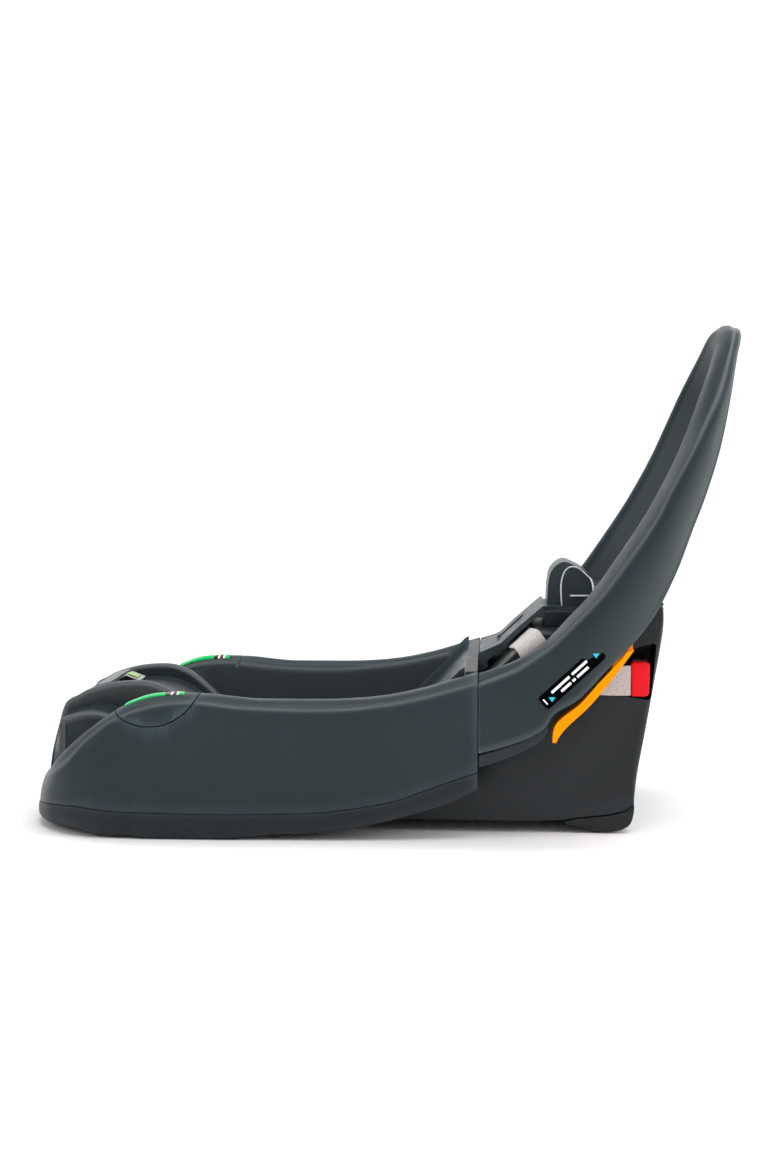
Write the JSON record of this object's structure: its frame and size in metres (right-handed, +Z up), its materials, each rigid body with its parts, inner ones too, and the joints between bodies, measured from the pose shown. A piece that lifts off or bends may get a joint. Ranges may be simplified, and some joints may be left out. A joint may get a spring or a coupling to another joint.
{
  "type": "infant car seat base",
  "caption": "Base for a rear-facing infant car seat: a low cradle with level indicators, levelling foot, belt lock-offs, LATCH connectors and a tall anti-rebound hoop.",
  "frame": {"origin": "centre of the bounding box, at the underside", "axes": "+X from the nose to the hoop, +Z up, +Y to the left side of the base"},
  "size_m": [0.744, 0.372, 0.522],
  "materials": {
    "shell_plastic": "fine moulded texture, satin",
    "pan_plastic": "fine moulded texture",
    "grip_rubber": "matte",
    "steel": "drawn",
    "console_plastic": "fine moulded texture",
    "indicator_green": "gloss",
    "level_green": "clear lens over green",
    "vial_black": "gloss",
    "crossbar_plastic": "satin",
    "housing_plastic": "fine moulded texture",
    "bright_trim": "bright edge",
    "zinc_steel": "zinc plated",
    "label_film": "printed film",
    "lever_orange": "satin",
    "webbing": "woven polyester",
    "connector_grey": "satin",
    "connector_red": "satin",
    "button_plastic": "satin"
  },
  "bodies": {
    "base": {"front_shell": "shell_plastic", "base_pan": "pan_plastic", "grip_pads": "grip_rubber", "assembly_screws": "steel", "front_striker_bar": "steel", "nose_console": "console_plastic", "level_indicator": "indicator_green", "bubble_cap_right": "shell_plastic", "bubble_cap_left": "shell_plastic", "level_strip_right": "level_green", "level_strip_left": "level_green", "level_vial_right": "vial_black", "level_vial_left": "vial_black", "crossbar": "crossbar_plastic", "rear_housing": "housing_plastic", "rear_deck": "housing_plastic", "belt_bridge": "console_plastic", "latch_tower": "console_plastic", "tower_fin_right": "bright_trim", "tower_fin_left": "bright_trim", "rear_striker_bar": "steel", "hoop_shell": "shell_plastic", "hoop_back_cover": "console_plastic", "hoop_tube": "zinc_steel", "hoop_bolts": "steel", "hoop_trim_right": "pan_plastic", "hoop_trim_left": "pan_plastic", "belt_label_right": "label_film", "belt_label_left": "label_film", "lever_pin_right": "steel", "lever_pin_left": "steel", "lever_spring_right": "steel", "lever_spring_left": "steel", "anchor_webbing": "webbing", "foot_pivot_shaft": "steel", "button_spring": "steel", "bellcrank_pin": "steel", "pawl_pin": "steel", "pawl_bracket": "zinc_steel"},
    "lever_right": {"lock_off_lever_right": "lever_orange"},
    "lever_left": {"lock_off_lever_left": "lever_orange"},
    "connector_right": {"connector_body_right": "connector_grey"},
    "connector_left": {"connector_body_left": "connector_grey"},
    "connector_button_right": {"connector_button_right": "connector_red"},
    "connector_button_left": {"connector_button_left": "connector_red"},
    "connector_jaw_right": {"connector_jaw_right": "zinc_steel"},
    "connector_jaw_left": {"connector_jaw_left": "zinc_steel"},
    "level_foot": {"foot_frame": "zinc_steel", "foot_shoe": "housing_plastic", "foot_pad": "grip_rubber"},
    "release_button": {"release_button": "button_plastic"},
    "bellcrank": {"bellcrank": "zinc_steel"},
    "release_rod": {"release_rod": "steel"},
    "level_pawl": {"level_pawl": "zinc_steel"}
  },
  "joints": [
    {"name": "level_foot_swing", "type": "hinge", "parent": "base", "child": "level_foot", "pos_m": [0.04, 0, 0.045], "axis": [0, 1, 0], "range_deg": [0, 12]},
    {"name": "release_press", "type": "slide", "parent": "base", "child": "release_button", "axis": [0, 0, -1], "range_m": [0, 0.006], "stiffness_N_per_m": 400, "deforming": ["button_spring"]},
    {"name": "bellcrank_turn", "type": "hinge", "parent": "base", "child": "bellcrank", "pos_m": [-0.27, 0, 0.068], "axis": [0, -1, 0], "range_deg": [0, 7.2]},
    {"name": "release_rod_slide", "type": "slide", "parent": "base", "child": "release_rod", "axis": [1, 0, 0], "range_m": [0, 0.0041]},
    {"name": "pawl_swing", "type": "hinge", "parent": "base", "child": "level_pawl", "pos_m": [0.205, 0, 0.07], "axis": [0, -1, 0], "range_deg": [0, 6.8]},
    {"name": "lock_off_right", "type": "hinge", "parent": "base", "child": "lever_right", "pos_m": [0.238, -0.17, 0.203], "axis": [0, -1, 0], "range_deg": [0, 25], "stiffness_Nm_per_rad": 0.35, "springref_deg": -34.38},
    {"name": "connector_pull_right", "type": "slide", "parent": "base", "child": "connector_right", "axis": [0, -1, 0], "range_m": [0, 0.04]},
    {"name": "connector_button_press_right", "type": "slide", "parent": "connector_right", "child": "connector_button_right", "axis": [0, 1, 0], "range_m": [0, 0.004], "stiffness_N_per_m": 300},
    {"name": "connector_jaw_swing_right", "type": "hinge", "parent": "connector_right", "child": "connector_jaw_right", "pos_m": [0.2575, -0.0755, 0.15], "axis": [0, 1, 0], "range_deg": [0, 25]},
    {"name": "lock_off_left", "type": "hinge", "parent": "base", "child": "lever_left", "pos_m": [0.238, 0.17, 0.203], "axis": [0, -1, 0], "range_deg": [0, 25], "stiffness_Nm_per_rad": 0.35, "springref_deg": -34.38},
    {"name": "connector_pull_left", "type": "slide", "parent": "base", "child": "connector_left", "axis": [0, 1, 0], "range_m": [0, 0.04]},
    {"name": "connector_button_press_left", "type": "slide", "parent": "connector_left", "child": "connector_button_left", "axis": [0, -1, 0], "range_m": [0, 0.004], "stiffness_N_per_m": 300},
    {"name": "connector_jaw_swing_left", "type": "hinge", "parent": "connector_left", "child": "connector_jaw_left", "pos_m": [0.2575, 0.0755, 0.15], "axis": [0, 1, 0], "range_deg": [0, 25]}
  ],
  "couplings": [
    {"joint": "bellcrank_turn", "follows": "release_press", "rad_per_m": 20.833},
    {"joint": "release_rod_slide", "follows": "release_press", "ratio": 0.66667},
    {"joint": "pawl_swing", "follows": "release_press", "rad_per_m": 19.65},
    {"joint": "connector_jaw_swing_right", "follows": "connector_button_press_right", "rad_per_m": 108},
    {"joint": "connector_jaw_swing_left", "follows": "connector_button_press_left", "rad_per_m": 108}
  ]
}
